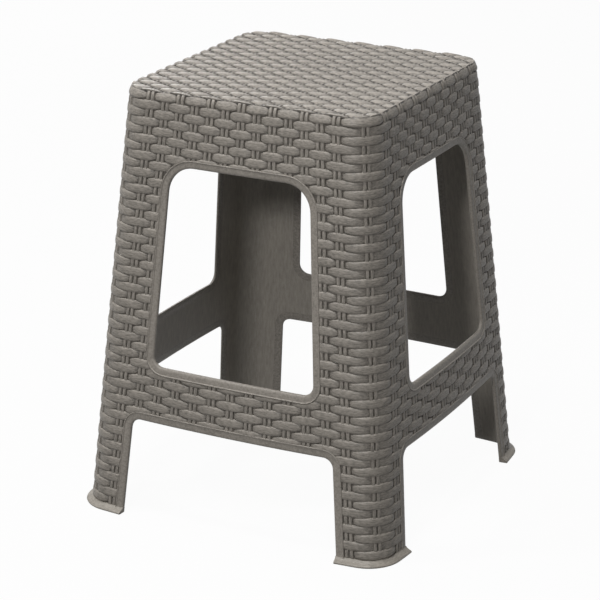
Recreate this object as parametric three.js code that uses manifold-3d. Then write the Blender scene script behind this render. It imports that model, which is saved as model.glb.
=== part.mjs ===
// A stacking stool moulded in one piece of plastic, with a basket-weave relief on the outside.
// The moulding is a hollow tapered shell on four angle-section legs. Its faces bow outwards towards
// the floor, each has a window and a leg opening with a plain trim, and every leg ends in a flared lip.
// The shell is divided here into its natural regions, one mesh each, which meet at a hairline seam.
// Millimetres, +Z up, the origin at floor level under the middle of the seat, the front at -Y.

import * as THREE from "three";
import { mergeVertices } from "three/addons/utils/BufferGeometryUtils.js";
import Module from "manifold-3d";

const wasm = await Module();
wasm.setup();

// Heights, stacked from the floor to the top of the seat.
const legOpeningHeight = 105.9;
const stretcherDepth = 60.3;
const windowHeight = 210.4;
const apronDepth = 73.4;

// Plan sizes. A span is measured between the sharp corners that the faces would meet in.
const footSpan = 346.4;
const seatSpan = 276.8;
const footBow = 9.8;
const footCornerRadius = 31;
const seatCornerRadius = 29;
const wall = 3.2;
const seam = 0.3;

// Posts and legs, from the edge of an opening to the sharp corner.
const postTopWidth = 66.2;
const postBottomWidth = 68.4;
const legTopWidth = 49.5;
const legFootWidth = 48.4;

// Corner radii of the openings, and the plain trim round them.
const windowUpperRadius = 28;
const windowLowerRadius = 11;
const legOpeningRadius = 11;
const windowTrimWidth = 8.5;
const legTrimWidth = 9.3;

// Rolled edge of the seat.
const rollDrop = 9.95;
const rollInset = 6;
const strandOnRollShares = [0.22, 0.6];

// Weave: flat strands that run level, over and under upright stakes. It rises from the plain face
// where a strand passes over a stake and sinks into it where the stake shows.
const strandPitch = 8.65;
const seatStrandPitch = 9.1;
const stakePitch = 17.15;
const footStakePitch = 23.25;
const weaveSink = 1.5;
const strandRise = 1;
// Half the length of a strand's visible stretch, in stake pitches, and past the last stake, where
// the columns are wider.
const strandReachShare = 0.34;
const lastStrandReachShare = 0.42;
const cornerStrandReachShare = 0.62;
// Places from the last stake to the corner where a smooth outline has a point.
const cornerPointShares = [0.3, 0.65];

// Flared lip under each leg.
const lipHeight = 5;
const lipFlare = 7;
const lipEdge = 1;

// Ribs under the seat, and how far they stop short of the seat's span.
const ribDepth = 12;
const ribThickness = 2;
const ribPitch = 42;
const ribInset = 14;

// Reach of a cutting tool past what it cuts, and the steps of a rounded corner.
const overrun = 30;
const weldDistance = 0.001;
const arcSteps = 5;

const QUARTER = Math.PI / 2;
const DIAGONAL = Math.PI / 4;
const seatHeight = legOpeningHeight + stretcherDepth + windowHeight + apronDepth;
const seatFace = seatHeight - strandRise;
const rollHeight = seatFace - rollDrop;
const windowBottom = legOpeningHeight + stretcherDepth;
const windowTop = windowBottom + windowHeight;
const reach = footSpan / 2 + footBow + lipFlare + overrun;

const taper = (atFloor, atSeat, z) => atFloor + ((atSeat - atFloor) * z) / seatHeight;
const halfSpanAt = (z) => taper(footSpan, seatSpan, z) / 2;
const bowAt = (z) => taper(footBow, 0, z);
const cornerRadiusAt = (z) => taper(footCornerRadius, seatCornerRadius, z);
const stakePitchAt = (z) => taper(footStakePitch, stakePitch, z);

// The outline of the shell at one height: bowed faces joined by round corners.
function outlineAt(z) {
  const halfSpan = halfSpanAt(z);
  const bow = bowAt(z);
  const radius = cornerRadiusAt(z);
  const faceAt = (s) => halfSpan + bow * (1 - (s / halfSpan) ** 2);
  const leanAt = (s) => Math.atan((2 * bow * s) / halfSpan ** 2);
  // The corner arc is centred on the diagonal, so its tangent point is found by iteration.
  let tangent = halfSpan - radius;
  for (let step = 0; step < 30; step++) {
    const lean = leanAt(tangent);
    tangent = faceAt(tangent) - radius * (Math.cos(lean) - Math.sin(lean));
  }
  const lean = leanAt(tangent);
  const centre = tangent - radius * Math.sin(lean);
  return { faceAt, leanAt, radius, tangent, lean, centre, pitch: stakePitchAt(z) };
}

// Stakes on each side of the middle one of a face. One more stands on the corner itself.
const sideStakes = Math.floor(outlineAt(rollHeight).tangent / stakePitch);
const cornerColumn = sideStakes + 1;

// A point of the outline, by its column from the middle of a face, and its outward direction.
function outlinePoint(outline, column) {
  const side = Math.sign(column);
  const away = Math.abs(column);
  const lastStake = sideStakes * outline.pitch;
  const flat = outline.tangent - lastStake;
  const arc = outline.radius * (DIAGONAL - outline.lean);
  const walked = (away - sideStakes) * (flat + arc);
  if (away <= sideStakes || walked <= flat) {
    const s = away <= sideStakes ? away * outline.pitch : lastStake + walked;
    return { s: side * s, n: outline.faceAt(s), lean: side * outline.leanAt(s) };
  }
  const lean = outline.lean + (walked - flat) / outline.radius;
  const s = outline.centre + outline.radius * Math.sin(lean);
  const n = outline.centre + outline.radius * Math.cos(lean);
  return { s: side * s, n, lean: side * lean };
}

// A closed loop of points round the stool. Each place is a column with the height of its relief,
// and the places of one face are repeated on all four.
function ringLoop(outline, places, put) {
  const loop = [];
  for (let face = 0; face < 4; face++) {
    const [cos, sin] = [Math.cos(face * QUARTER), Math.sin(face * QUARTER)];
    for (const [column, height] of places) {
      const at = outlinePoint(outline, column);
      const { out, z } = put(height);
      const x = at.s + out * Math.sin(at.lean);
      const y = -(at.n + out * Math.cos(at.lean));
      const turn = (face + (column / cornerColumn + 1) / 2) / 4;
      loop.push({ turn, point: [x * cos - y * sin, x * sin + y * cos, z] });
    }
  }
  return loop;
}

// Columns of a smooth loop: even stretches between the last stakes, four of them where the faces
// bow, and points round each corner.
function smoothPlaces(height, bowed = true) {
  const round = cornerPointShares.map((share) => sideStakes + share);
  const places = [-cornerColumn, ...round.map((column) => -column).reverse()];
  const step = bowed ? sideStakes / 2 : 2 * sideStakes;
  for (let column = -sideStakes; column <= sideStakes; column += step) places.push(column);
  return [...places, ...round].map((column) => [column, height]);
}

// Columns along the middle of a strand: high where it passes over a stake, and low where it passes
// under. Strands of even rows pass over the even stakes.
function strandPlaces(row) {
  const places = [];
  for (let column = -cornerColumn; column <= cornerColumn; column++) {
    const over = (column + row) % 2 === 0;
    const away = Math.abs(column);
    const side = Math.sign(column);
    if (away === cornerColumn) {
      const wrap = over ? [cornerStrandReachShare, cornerStrandReachShare / 2] : [];
      const round = wrap.map((share) => [column - side * share, strandRise]);
      if (side > 0) places.push(...round);
      else places.push([column, over ? strandRise : -weaveSink], ...round.reverse());
      continue;
    }
    const left = column === -sideStakes ? lastStrandReachShare : strandReachShare;
    const right = column === sideStakes ? lastStrandReachShare : strandReachShare;
    if (over) places.push([column - left, strandRise], [column + right, strandRise]);
    else places.push([column, -weaveSink]);
  }
  return places;
}

// Joins loop after loop with triangles. Loops may differ in their number of points, because each
// step goes to whichever next point lies nearer by its turn. The last loop joins the first, or each
// end gets a flat cap.
function skin(loops, capped) {
  const positions = [];
  const triangles = [];
  const starts = loops.map((loop) => {
    const start = positions.length / 3;
    for (const { point } of loop) positions.push(...point);
    return start;
  });
  const joints = capped ? loops.length - 1 : loops.length;
  for (let index = 0; index < joints; index++) {
    const next = (index + 1) % loops.length;
    const [a, b] = [loops[index], loops[next]];
    let [i, j] = [0, 0];
    while (i < a.length || j < b.length) {
      const turnA = i + 1 < a.length ? a[i + 1].turn : 1 + a[0].turn;
      const turnB = j + 1 < b.length ? b[j + 1].turn : 1 + b[0].turn;
      const atA = starts[index] + (i % a.length);
      const atB = starts[next] + (j % b.length);
      if (j >= b.length || (i < a.length && turnA <= turnB)) {
        triangles.push(atA, starts[index] + ((i + 1) % a.length), atB);
        i++;
      } else {
        triangles.push(atA, starts[next] + ((j + 1) % b.length), atB);
        j++;
      }
    }
  }
  if (capped) {
    for (const end of [0, loops.length - 1]) {
      const flat = loops[end].map(({ point }) => new THREE.Vector2(point[0], point[2]));
      const along = THREE.ShapeUtils.area(flat) > 0;
      for (const [p, q, r] of THREE.ShapeUtils.triangulateShape(flat, [])) {
        const follows = THREE.ShapeUtils.area([flat[p], flat[q], flat[r]]) > 0 === along;
        const corners = follows === (end > 0) ? [p, q, r] : [p, r, q];
        triangles.push(...corners.map((corner) => starts[end] + corner));
      }
    }
  }
  return manifoldOf(new Float32Array(positions), new Uint32Array(triangles));
}

function manifoldOf(vertProperties, triVerts) {
  return new wasm.Manifold(new wasm.Mesh({ numProp: 3, vertProperties, triVerts }));
}

function solidOf(geometry) {
  const bare = geometry.clone();
  bare.deleteAttribute("normal");
  bare.deleteAttribute("uv");
  const merged = mergeVertices(bare, weldDistance);
  return manifoldOf(merged.attributes.position.array, new Uint32Array(merged.index.array));
}

const boxFrom = (low, high) => {
  const size = high.map((value, axis) => value - low[axis]);
  const middle = high.map((value, axis) => (value + low[axis]) / 2);
  return solidOf(new THREE.BoxGeometry(...size).translate(...middle));
};

// The sides of the shell, from the lips up to the roll, with the weave on the outside or smooth.
const sideLevels = { low: lipHeight + seam, high: rollHeight };
const innerLoops = (outer, levels) =>
  levels.map((z) => ringLoop(outlineAt(z), smoothPlaces(outer), (out) => ({ out, z })));

function wovenSides() {
  const { low, high } = sideLevels;
  const rows = Math.floor((high - low) / strandPitch);
  const loops = innerLoops(-weaveSink, [low]);
  for (let row = rows - 1; row >= 0; row--) {
    const z = high - (row + 0.5) * strandPitch;
    loops.push(ringLoop(outlineAt(z), strandPlaces(row), (out) => ({ out, z })));
  }
  loops.push(...innerLoops(-weaveSink, [high]), ...innerLoops(-wall, [high, low]));
  return skin(loops, false);
}

function smoothSides() {
  const { low, high } = sideLevels;
  return skin([...innerLoops(0, [low, high]), ...innerLoops(-wall, [high, low])], false);
}

// The rolled edge of the seat: a quarter ellipse with one row of strands that wrap over the edge.
function seatRoll() {
  const outline = outlineAt(rollHeight);
  const bottom = rollHeight + seam;
  const onRoll = (angle) => (height) => ({
    out: -rollInset * (1 - Math.cos(angle)) + height * Math.cos(angle),
    z: bottom + (seatFace - bottom + height) * Math.sin(angle),
  });
  const inner = (angle) => () => ({
    out: -wall - (rollInset - wall) * (1 - Math.cos(angle)),
    z: bottom + (seatFace - wall - bottom) * Math.sin(angle),
  });
  const plain = smoothPlaces(-weaveSink, false);
  const loops = [ringLoop(outline, plain, onRoll(0))];
  for (const share of strandOnRollShares) {
    loops.push(ringLoop(outline, strandPlaces(1), onRoll(QUARTER * share)));
  }
  loops.push(ringLoop(outline, plain, onRoll(QUARTER)));
  for (const angle of [QUARTER, 0]) loops.push(ringLoop(outline, plain, inner(angle)));
  return skin(loops, false);
}

// The flat of the seat: strands run from side to side, over and under stakes that run front to back.
function seatWeave() {
  const half = seatSpan / 2 - rollInset;
  const rows = Math.ceil(half / seatStrandPitch);
  const columns = Math.ceil(half / stakePitch);
  const edge = (columns + 1) * stakePitch;
  const level = seatFace - wall;
  // Each loop is a cross-section of the slab: its top from left to right, then its flat underside.
  const section = (y, tops) => {
    const loop = [[-edge, -weaveSink], ...tops, [edge, -weaveSink]].map(([x, height]) => ({
      turn: (x / edge + 1) / 4,
      point: [x, y, seatFace + height],
    }));
    loop.push({ turn: 0.7, point: [edge, y, level] }, { turn: 0.9, point: [-edge, y, level] });
    return loop;
  };
  const loops = [];
  for (let row = -rows; row <= rows; row++) {
    const places = [];
    for (let column = -columns; column <= columns; column++) {
      const x = column * stakePitch;
      const half = strandReachShare * stakePitch;
      if ((column + row) % 2 === 0) places.push([x, -weaveSink]);
      else places.push([x - half, strandRise], [x + half, strandRise]);
    }
    loops.push(section(row * seatStrandPitch, places));
  }
  const edgePlaces = smoothPlaces(weaveSink - rollInset, false);
  const outline = ringLoop(outlineAt(rollHeight), edgePlaces, (out) => ({ out, z: 0 }));
  const flat = new THREE.Shape(outline.map(({ point }) => new THREE.Vector2(point[0], point[1])));
  const plug = new THREE.ExtrudeGeometry(flat, { depth: seatHeight + overrun, bevelEnabled: false });
  return skin(loops, true).intersect(solidOf(plug));
}

// Outlines of the openings, drawn in the plane of a face with an even margin round them.
function roundedOutline(corners) {
  const path = new THREE.Shape();
  corners.forEach(({ at, radius }, index) => {
    const before = corners[(index + corners.length - 1) % corners.length].at;
    const after = corners[(index + 1) % corners.length].at;
    const inward = before.clone().sub(at).normalize();
    const onward = after.clone().sub(at).normalize();
    const bend = Math.acos(inward.dot(onward));
    const cut = radius / Math.tan(bend / 2);
    const bisector = inward.clone().add(onward).normalize();
    const centre = at.clone().addScaledVector(bisector, radius / Math.sin(bend / 2));
    const first = at.clone().addScaledVector(inward, cut).sub(centre);
    const last = at.clone().addScaledVector(onward, cut).sub(centre);
    const sweep = Math.atan2(first.cross(last), first.dot(last));
    const steps = radius > 0 ? arcSteps : 0;
    for (let step = 0; step <= steps; step++) {
      const ray = first.clone().rotateAround(new THREE.Vector2(), (sweep * step) / arcSteps);
      const point = centre.clone().add(ray);
      if (index === 0 && step === 0) path.moveTo(point.x, point.y);
      else path.lineTo(point.x, point.y);
    }
  });
  return path;
}

const windowHalfWidthAt = (z) => {
  const atBottom = halfSpanAt(windowBottom) - postBottomWidth;
  const atTop = halfSpanAt(windowTop) - postTopWidth;
  return atBottom + ((atTop - atBottom) * (z - windowBottom)) / windowHeight;
};
const legOpeningHalfWidthAt = (z) => {
  const atFloor = halfSpanAt(0) - legFootWidth;
  const atTop = halfSpanAt(legOpeningHeight) - legTopWidth;
  return atFloor + ((atTop - atFloor) * z) / legOpeningHeight;
};

function windowOutline(margin) {
  const corner = (side, z, radius) => ({
    at: new THREE.Vector2(side * (windowHalfWidthAt(z) + margin), z),
    radius: radius + margin,
  });
  return roundedOutline([
    corner(-1, windowBottom - margin, windowLowerRadius),
    corner(1, windowBottom - margin, windowLowerRadius),
    corner(1, windowTop + margin, windowUpperRadius),
    corner(-1, windowTop + margin, windowUpperRadius),
  ]);
}

function legOpeningOutline(margin) {
  const corner = (side, z, radius) => ({
    at: new THREE.Vector2(side * (legOpeningHalfWidthAt(z) + margin), z),
    radius,
  });
  const top = legOpeningHeight + margin;
  return roundedOutline([
    corner(-1, -overrun, 0),
    corner(1, -overrun, 0),
    corner(1, top, legOpeningRadius + margin),
    corner(-1, top, legOpeningRadius + margin),
  ]);
}

// An outline pushed through one wall of the stool, the front one or one that it is turned to.
function through(outline, quarterTurns = 0) {
  const tool = new THREE.ExtrudeGeometry(outline, { depth: reach, bevelEnabled: false });
  return solidOf(tool.rotateX(QUARTER).rotateZ(quarterTurns * QUARTER));
}

// The wedge that holds everything beyond the posts' inner edges at the front right corner.
function postWedge() {
  const inner = (z) => windowHalfWidthAt(z) + windowTrimWidth + seam;
  const section = (z) => [
    [inner(z), -reach],
    [reach, -reach],
    [reach, -inner(z)],
    [inner(z), -inner(z)],
  ];
  const levels = [-overrun, seatHeight + overrun];
  const positions = levels.flatMap((z) => section(z).flatMap(([x, y]) => [x, y, z]));
  const sides = [0, 1, 2, 3].flatMap((a) => {
    const b = (a + 1) % 4;
    return [a, b, b + 4, a, b + 4, a + 4];
  });
  const ends = [0, 3, 2, 0, 2, 1, 4, 5, 6, 4, 6, 7];
  return manifoldOf(new Float32Array(positions), new Uint32Array([...sides, ...ends]));
}

// The part of a wall between the two posts of the front face.
function betweenPosts(low, high) {
  const half = (z) => windowHalfWidthAt(z) + windowTrimWidth;
  const outline = new THREE.Shape([
    new THREE.Vector2(-half(low), low),
    new THREE.Vector2(half(low), low),
    new THREE.Vector2(half(high), high),
    new THREE.Vector2(-half(high), high),
  ]);
  return through(outline);
}

// The lips under the legs: a band that flares out to a rounded edge on the floor.
function footLips() {
  const steps = [
    [lipFlare - lipEdge, 0],
    [lipFlare, lipEdge],
    [lipFlare - lipEdge, (lipEdge + lipHeight) / 3],
    [(lipFlare - lipEdge) / 3, (lipEdge + lipHeight) / 2],
    [0, lipHeight],
    [-wall, lipHeight],
    [-wall, 0],
  ];
  const loops = steps.map(([out, z]) => innerLoops(out, [z])[0]);
  return skin(loops, false);
}

// Ribs under the seat, in a square grid that stops short of the shell.
function seatRibs() {
  const top = seatFace - wall - seam;
  const bottom = top - ribDepth;
  const half = seatSpan / 2 - ribInset;
  const count = Math.floor(half / ribPitch);
  let grid = null;
  for (let index = -count; index <= count; index++) {
    const from = index * ribPitch - ribThickness / 2;
    const to = from + ribThickness;
    const along = boxFrom([-half, from, bottom], [half, to, top]);
    const across = boxFrom([from, -half, bottom], [to, half, top]);
    const cross = along.add(across);
    grid = grid ? grid.add(cross) : cross;
  }
  return grid;
}

// Materials.
const plastic = () =>
  new THREE.MeshStandardMaterial({ color: 0x857c72, roughness: 0.62, metalness: 0 });
const palePlastic = () =>
  new THREE.MeshStandardMaterial({ color: 0x938a80, roughness: 0.5, metalness: 0 });

const stool = new THREE.Group();

function addPiece(name, solid, material, quarterTurns = 0) {
  const { vertProperties, triVerts } = solid.getMesh();
  const geometry = new THREE.BufferGeometry();
  geometry.setAttribute("position", new THREE.BufferAttribute(vertProperties, 3));
  geometry.setIndex(new THREE.BufferAttribute(triVerts, 1));
  geometry.computeVertexNormals();
  const mesh = new THREE.Mesh(geometry, material);
  mesh.name = name;
  mesh.rotation.z = quarterTurns * QUARTER;
  stool.add(mesh);
}

const woven = wovenSides();
const smooth = smoothSides();
const windowHole = through(windowOutline(0));
const windowBed = through(windowOutline(windowTrimWidth + seam));
const legHoles = [0, 1].map((turns) => through(legOpeningOutline(0), turns));
const legBeds = [0, 1].map((turns) => through(legOpeningOutline(legTrimWidth + seam), turns));

const windowTrim = smooth.intersect(through(windowOutline(windowTrimWidth))).subtract(windowHole);
const legTrim = smooth
  .intersect(through(legOpeningOutline(legTrimWidth)))
  .subtract(legHoles[0]);
const apron = woven
  .intersect(betweenPosts(windowTop - windowUpperRadius, seatHeight))
  .subtract(windowBed);
const stretcher = woven
  .intersect(betweenPosts(0, windowBottom + windowLowerRadius))
  .subtract(windowBed)
  .subtract(legBeds[0]);
const wedge = postWedge();
const cornerPost = woven.intersect(wedge).subtract(legBeds[0]).subtract(legBeds[1]);
const lip = footLips().intersect(wedge).subtract(legHoles[0]).subtract(legHoles[1]);

const sides = ["front", "right", "back", "left"];
const corners = ["front_right", "back_right", "back_left", "front_left"];
sides.forEach((side, turns) => {
  addPiece(side + "_apron", apron, plastic(), turns);
  addPiece(side + "_stretcher", stretcher, plastic(), turns);
  addPiece(side + "_window_trim", windowTrim, palePlastic(), turns);
  addPiece(side + "_leg_opening_trim", legTrim, palePlastic(), turns);
});
corners.forEach((corner, turns) => {
  addPiece(corner + "_post", cornerPost, plastic(), turns);
  addPiece(corner + "_foot_lip", lip, palePlastic(), turns);
});
addPiece("seat_panel", seatRoll().add(seatWeave()), plastic());
addPiece("seat_ribs", seatRibs(), plastic());

export default stool;
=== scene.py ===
import math
from collections import namedtuple

import bpy
import numpy as np
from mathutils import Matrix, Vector
from mathutils.geometry import delaunay_2d_cdt

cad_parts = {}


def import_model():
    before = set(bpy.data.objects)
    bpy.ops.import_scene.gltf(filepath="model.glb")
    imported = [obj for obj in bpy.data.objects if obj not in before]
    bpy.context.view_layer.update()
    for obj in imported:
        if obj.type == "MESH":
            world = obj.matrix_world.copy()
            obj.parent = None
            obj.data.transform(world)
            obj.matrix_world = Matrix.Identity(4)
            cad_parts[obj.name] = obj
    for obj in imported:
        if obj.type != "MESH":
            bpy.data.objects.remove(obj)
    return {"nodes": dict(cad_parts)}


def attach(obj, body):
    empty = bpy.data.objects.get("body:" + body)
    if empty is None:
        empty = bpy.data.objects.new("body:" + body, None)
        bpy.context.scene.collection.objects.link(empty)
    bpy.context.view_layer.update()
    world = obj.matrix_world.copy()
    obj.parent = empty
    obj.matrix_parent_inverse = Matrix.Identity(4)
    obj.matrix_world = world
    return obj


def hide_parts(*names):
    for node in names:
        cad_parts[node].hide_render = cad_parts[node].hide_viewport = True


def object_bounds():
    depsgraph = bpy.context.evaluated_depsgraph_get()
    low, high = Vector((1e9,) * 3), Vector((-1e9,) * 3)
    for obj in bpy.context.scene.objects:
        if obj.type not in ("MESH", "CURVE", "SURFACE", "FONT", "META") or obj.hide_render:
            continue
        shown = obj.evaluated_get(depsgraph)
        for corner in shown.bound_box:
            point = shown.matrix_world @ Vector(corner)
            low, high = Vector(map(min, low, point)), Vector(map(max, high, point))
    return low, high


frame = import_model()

cad_low, cad_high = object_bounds()

# Sizes of the moulding, in metres. The shell is worked out at any height from its plan at the floor
# and at the seat.
MM = 0.001
SEAT_HEIGHT = cad_high.z
LEG_OPENING_HEIGHT = 105.9 * MM
STRETCHER_DEPTH = 60.3 * MM
WINDOW_HEIGHT = 210.4 * MM
FOOT_SPAN = 346.4 * MM
SEAT_SPAN = 276.8 * MM
FOOT_BOW = 9.8 * MM
FOOT_CORNER_RADIUS = 31 * MM
SEAT_CORNER_RADIUS = 29 * MM
WALL = 3.2 * MM

POST_TOP_WIDTH = 66.2 * MM
POST_BOTTOM_WIDTH = 68.4 * MM
LEG_TOP_WIDTH = 49.5 * MM
LEG_FOOT_WIDTH = 48.4 * MM

WINDOW_UPPER_RADIUS = 28 * MM
WINDOW_LOWER_RADIUS = 11 * MM
LEG_OPENING_RADIUS = 11 * MM
WINDOW_TRIM_WIDTH = 8.5 * MM
LEG_TRIM_WIDTH = 9.3 * MM

ROLL_DROP = 9.95 * MM
ROLL_INSET = 6 * MM
SEAT_WEAVE_INSET = 2.5 * MM
LIP_HEIGHT = 5 * MM
LIP_FLARE = 6.6 * MM

# The weave. Strands run level, and pass over and under pairs of upright stakes.
STRAND_RISE = 1 * MM
BED_SINK = 1.5 * MM
ROOT_SINK = 2 * MM
STRAND_PITCH = 8.65 * MM
SEAT_STRAND_PITCH = 9.1 * MM
SEAT_PITCH = 17.15 * MM
FLOOR_PITCH = 23.25 * MM
SIDE_ROWS = 50
SIDE_STAKES = 6
APRON_STAKES = 4
STAKE_WIDTH = 4.1 * MM
STAKE_SPACING = 5 * MM
STAKE_RISE = 0.6 * MM
# How far the end of a strand is tucked under the next stake.
TUCK = 0.5 * MM
STRAND_SETBACK = (STAKE_SPACING + STAKE_WIDTH) / 2 - TUCK
SEAT_GAP = 7.2 * MM
SEAT_STAKE_SHIFT = -0.4 * MM
GROOVE = 0.2 * MM

DIAGONAL = math.pi / 4
QUARTER = math.pi / 2
WINDOW_BOTTOM = LEG_OPENING_HEIGHT + STRETCHER_DEPTH
WINDOW_TOP = WINDOW_BOTTOM + WINDOW_HEIGHT
SEAT_FACE = SEAT_HEIGHT - STRAND_RISE
ROLL_HEIGHT = SEAT_FACE - ROLL_DROP
SIDES = ("front", "right", "back", "left")
CORNERS = ("front_right", "back_right", "back_left", "front_left")
# Rounds of the search for the place where a face meets the arc of its corner.
TANGENT_ROUNDS = 20


def between(at_floor, at_seat, z):
    return at_floor + (at_seat - at_floor) * z / SEAT_HEIGHT


class Outline:
    """The outline of the shell at one height or many: bowed faces joined by round corners."""

    def __init__(self, z):
        self.half = between(FOOT_SPAN, SEAT_SPAN, z) / 2
        self.bow = between(FOOT_BOW, 0, z)
        self.radius = between(FOOT_CORNER_RADIUS, SEAT_CORNER_RADIUS, z)
        # The corner's arc is centred on the diagonal and goes on from the bowed face.
        self.tangent = self.half - self.radius
        for _ in range(TANGENT_ROUNDS):
            lean = self.lean_at(self.tangent)
            inward = self.radius * (np.cos(lean) - np.sin(lean))
            self.tangent = self.face_at(self.tangent) - inward
        self.lean = self.lean_at(self.tangent)
        self.centre = self.tangent - self.radius * np.sin(self.lean)
        self.reach = self.tangent + self.radius * (DIAGONAL - self.lean)

    def face_at(self, s):
        return self.half + self.bow * (1 - (s / self.half) ** 2)

    def lean_at(self, s):
        return np.arctan(2 * self.bow * s / self.half**2)

    def point(self, along):
        """Across, outward and turned, for a distance walked from the middle of the face."""
        away = np.abs(along)
        arc_lean = self.lean + np.maximum(away - self.tangent, 0) / self.radius
        on_arc = away > self.tangent
        lean = np.where(on_arc, arc_lean, self.lean_at(away))
        s = np.where(on_arc, self.centre + self.radius * np.sin(arc_lean), away)
        n = np.where(on_arc, self.centre + self.radius * np.cos(arc_lean), self.face_at(away))
        return np.sign(along) * s, n, np.sign(along) * lean


def turned(points, quarters):
    """Points turned about the stool's axis, a face at a time."""
    x, y, z = points.T
    for _ in range(quarters % 4):
        x, y = -y, x
    return np.stack([x, y, z], axis=1)


# Each weave is laid out flat, as (along, up, height above the face), and is then wrapped on.
def on_face(flat):
    along, z, height = flat.T
    s, n, lean = Outline(z).point(along)
    return np.stack([s + height * np.sin(lean), -(n + height * np.cos(lean)), z], axis=1)


def on_corner(flat):
    """Wraps round the front right corner, which along is measured from."""
    past, z, height = flat.T
    reach = Outline(z).reach
    along = np.where(past > 0, past - reach, past + reach)
    front = on_face(np.stack([along, z, height], axis=1))
    return np.where((past > 0)[:, None], turned(front, 1), front)


ROLL_LENGTH = QUARTER * math.sqrt((ROLL_DROP**2 + ROLL_INSET**2) / 2)


def on_roll(flat):
    """Wraps over the rolled edge of the seat, from its foot at 0 to the flat of the seat."""
    along, up, height = flat.T
    angle = QUARTER * up / ROLL_LENGTH
    outline = Outline(ROLL_HEIGHT)
    past_corner = np.abs(along) > outline.reach
    s, n, lean = outline.point(np.where(past_corner, along - 2 * outline.reach, along))
    out = -ROLL_INSET * (1 - np.cos(angle)) + height * np.cos(angle)
    z = ROLL_HEIGHT + (ROLL_DROP + height) * np.sin(angle)
    points = np.stack([s + out * np.sin(lean), -(n + out * np.cos(lean)), z], axis=1)
    return np.where(past_corner[:, None], turned(points, 1), points)


def on_seat(flat):
    return flat + np.array([0, 0, SEAT_FACE])


def window_half(z):
    at_bottom = Outline(WINDOW_BOTTOM).half - POST_BOTTOM_WIDTH
    at_top = Outline(WINDOW_TOP).half - POST_TOP_WIDTH
    return at_bottom + (at_top - at_bottom) * (z - WINDOW_BOTTOM) / WINDOW_HEIGHT


def leg_opening_half(z):
    at_floor = Outline(0).half - LEG_FOOT_WIDTH
    at_top = Outline(LEG_OPENING_HEIGHT).half - LEG_TOP_WIDTH
    return at_floor + (at_top - at_floor) * z / LEG_OPENING_HEIGHT


def seam(z):
    """Half the distance between the two posts of a face."""
    return window_half(z) + WINDOW_TRIM_WIDTH


# Steps of a rounded corner of an opening, and of a straight run between two of them.
ARC_STEPS = 10
RUN_STEPS = 16


def corner_arc(before, at, after, radius):
    """Points of a rounded corner of an outline."""
    inward = (before - at) / np.linalg.norm(before - at)
    onward = (after - at) / np.linalg.norm(after - at)
    half_bend = math.acos(np.dot(inward, onward)) / 2
    middle = (inward + onward) / np.linalg.norm(inward + onward)
    centre = at + middle * radius / math.sin(half_bend)
    first = at + inward * radius / math.tan(half_bend) - centre
    last = at + onward * radius / math.tan(half_bend) - centre
    sweep = math.atan2(first[0] * last[1] - first[1] * last[0], np.dot(first, last))
    angles = math.atan2(first[1], first[0]) + sweep * np.linspace(0, 1, ARC_STEPS + 1)
    return centre + radius * np.stack([np.cos(angles), np.sin(angles)], axis=1)


def run(start, end):
    """The inner points of a straight run."""
    shares = np.linspace(0, 1, RUN_STEPS + 1)[1:-1, None]
    return start + (end - start) * shares


def window_arcs(margin):
    """The four corners of a window's outline, from the lower left one round to the upper left."""

    def corner(side, z):
        return np.array([side * (window_half(z) + margin), z])

    low, high = WINDOW_BOTTOM - margin, WINDOW_TOP + margin
    corners = [corner(-1, low), corner(1, low), corner(1, high), corner(-1, high)]
    radii = [WINDOW_LOWER_RADIUS] * 2 + [WINDOW_UPPER_RADIUS] * 2
    return [
        corner_arc(corners[i - 1], corners[i], corners[(i + 1) % 4], radii[i] + margin)
        for i in range(4)
    ]


def window_outline(margin):
    arcs = window_arcs(margin)
    return np.concatenate([
        part for i in range(4) for part in (arcs[i], run(arcs[i][-1], arcs[(i + 1) % 4][0]))
    ])


def leg_opening_outline(margin, foot=LIP_HEIGHT):
    """The outline of a leg opening, from the lower left end up and over to the lower right."""

    def corner(side, z):
        return np.array([side * (leg_opening_half(z) + margin), z])

    high = LEG_OPENING_HEIGHT + margin
    corners = [corner(-1, foot), corner(-1, high), corner(1, high), corner(1, foot)]
    radius = LEG_OPENING_RADIUS + margin
    left = corner_arc(corners[0], corners[1], corners[2], radius)
    right = corner_arc(corners[1], corners[2], corners[3], radius)
    return np.concatenate([
        corners[:1], run(corners[0], left[0]), left, run(left[-1], right[0]), right,
        run(right[-1], corners[3]), corners[3:],
    ])


# Nodes. A value wraps an output socket, and sums and products of values add Math nodes.
class Value:
    def __init__(self, tree, socket):
        self.tree = tree
        self.socket = socket

    def math(self, operation, *others):
        return math_node(self.tree, operation, self, *others)

    def __add__(self, other):
        return self.math("ADD", other)

    def __sub__(self, other):
        return self.math("SUBTRACT", other)

    def __rsub__(self, other):
        return math_node(self.tree, "SUBTRACT", other, self)

    def __mul__(self, other):
        return self.math("MULTIPLY", other)

    def __truediv__(self, other):
        return self.math("DIVIDE", other)

    def __rtruediv__(self, other):
        return math_node(self.tree, "DIVIDE", other, self)

    __radd__ = __add__
    __rmul__ = __mul__


def math_node(tree, operation, *operands):
    return add_node(tree, "ShaderNodeMath", {"operation": operation}, dict(enumerate(operands)))


def add_node(tree, kind, settings=None, sockets=None, output=0):
    """Adds a node with its settings, then the values or links of its sockets."""
    node = tree.nodes.new(kind)
    for name, setting in (settings or {}).items():
        setattr(node, name, setting)
    for name, value in (sockets or {}).items():
        if isinstance(value, Value):
            tree.links.new(value.socket, node.inputs[name])
        else:
            node.inputs[name].default_value = value
    return Value(tree, node.outputs[output]) if node.outputs else None


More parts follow.
